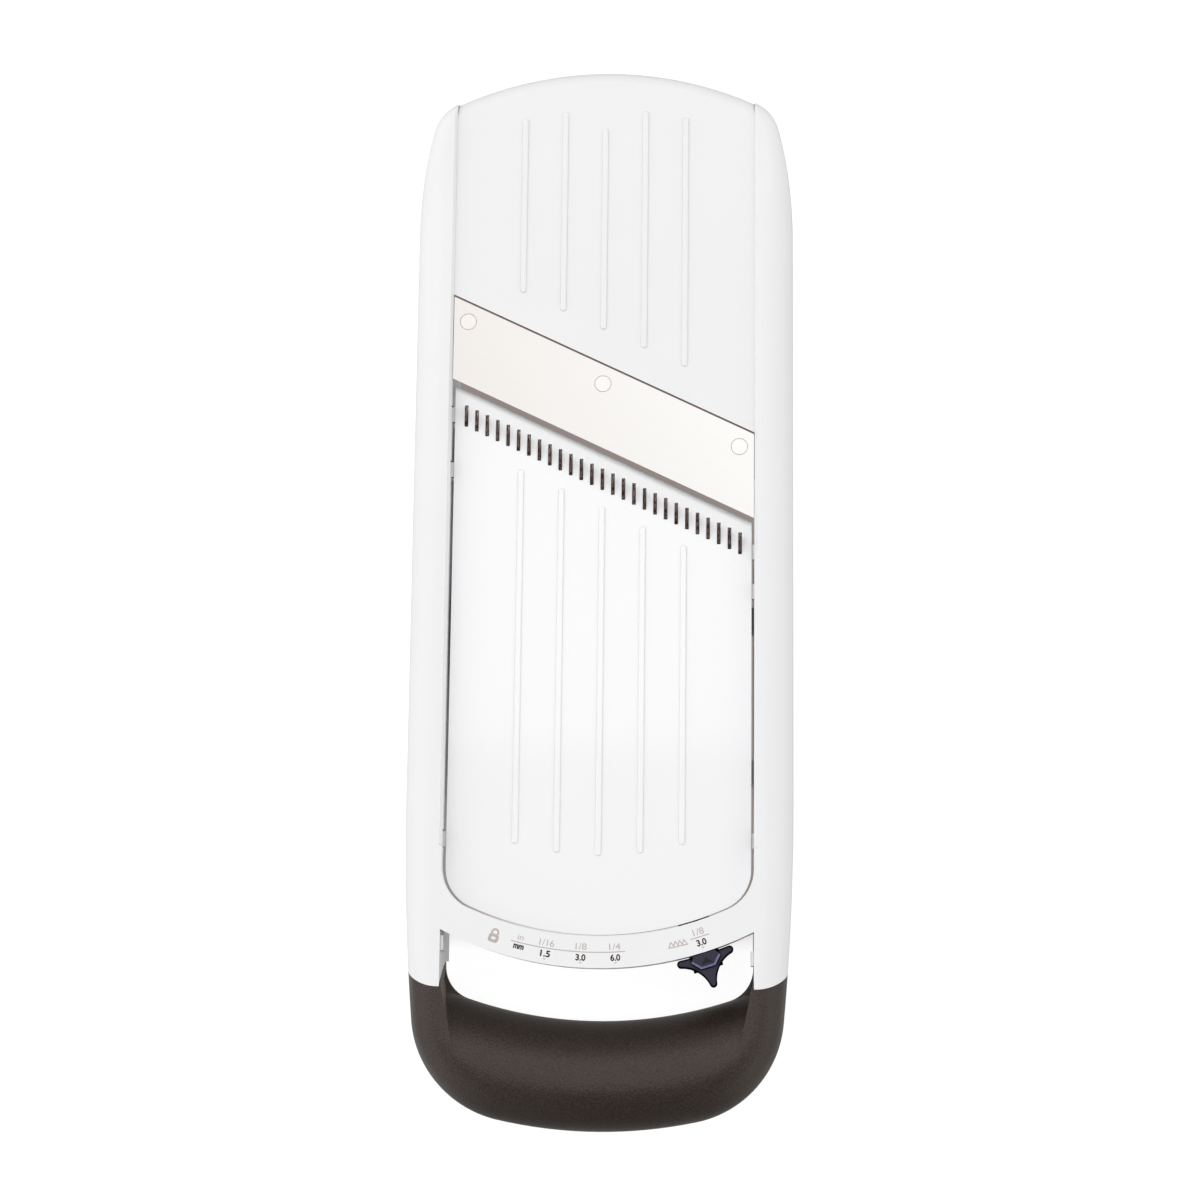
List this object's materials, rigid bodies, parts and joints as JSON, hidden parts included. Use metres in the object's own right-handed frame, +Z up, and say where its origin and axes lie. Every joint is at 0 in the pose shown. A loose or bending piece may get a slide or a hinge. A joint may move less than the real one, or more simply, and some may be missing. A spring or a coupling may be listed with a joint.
{
  "type": "mandoline slicer",
  "caption": "Hand-held mandoline slicer with a diagonal blade, a lever-set runway, a julienne comb that rises with it, and a soft loop handle.",
  "frame": {"origin": "on the table under the middle of the slicer's bounding box", "axes": "+X across the slicer to the right with the handle near the user, +Y from the handle to the far end, +Z up"},
  "size_m": [0.1144, 0.3204, 0.03],
  "materials": {
    "white_shell": "satin",
    "soft_grip": "fine grain",
    "foot_rubber": "matte",
    "blade_steel": "ground",
    "rivet_steel": "satin",
    "white_runway": "smooth",
    "pin_steel": "turned",
    "white_acetal": "smooth",
    "teeth_steel": "ground",
    "dark_lever": "satin",
    "white_tray": "satin",
    "screw_steel": "plated"
  },
  "bodies": {
    "body": {"frame": "white_shell", "handle_grip": "soft_grip", "end_foot": "foot_rubber", "main_blade": "blade_steel", "blade_rivets": "rivet_steel", "mechanism_tray": "white_tray", "tray_screws": "screw_steel", "comb_guide_posts": "pin_steel", "pivot_screw": "screw_steel", "pivot_washer": "screw_steel"},
    "lever": {"lever_cam": "dark_lever", "lever_tab": "dark_lever"},
    "runway_unit": {"runway": "white_runway", "runway_cam_pins": "pin_steel"},
    "comb_unit": {"comb_carrier": "white_acetal", "julienne_teeth": "teeth_steel", "comb_cam_pins": "pin_steel"}
  },
  "joints": [
    {"name": "lever_turn", "type": "hinge", "parent": "body", "child": "lever", "pos_m": [0, -0.0124, 0.0095], "axis": [0, 0, 1], "range_deg": [-37.4, 0]},
    {"name": "runway_lift", "type": "slide", "parent": "body", "child": "runway_unit", "axis": [0, 0, 1], "range_m": [0, 0.003]},
    {"name": "comb_lift", "type": "slide", "parent": "body", "child": "comb_unit", "axis": [0, 0, 1], "range_m": [-0.00505, 0]}
  ],
  "couplings": [
    {"joint": "lever_turn", "follows": "runway_lift", "rad_per_m": -216.42},
    {"joint": "comb_lift", "follows": "runway_lift", "ratio": -1.6667}
  ]
}
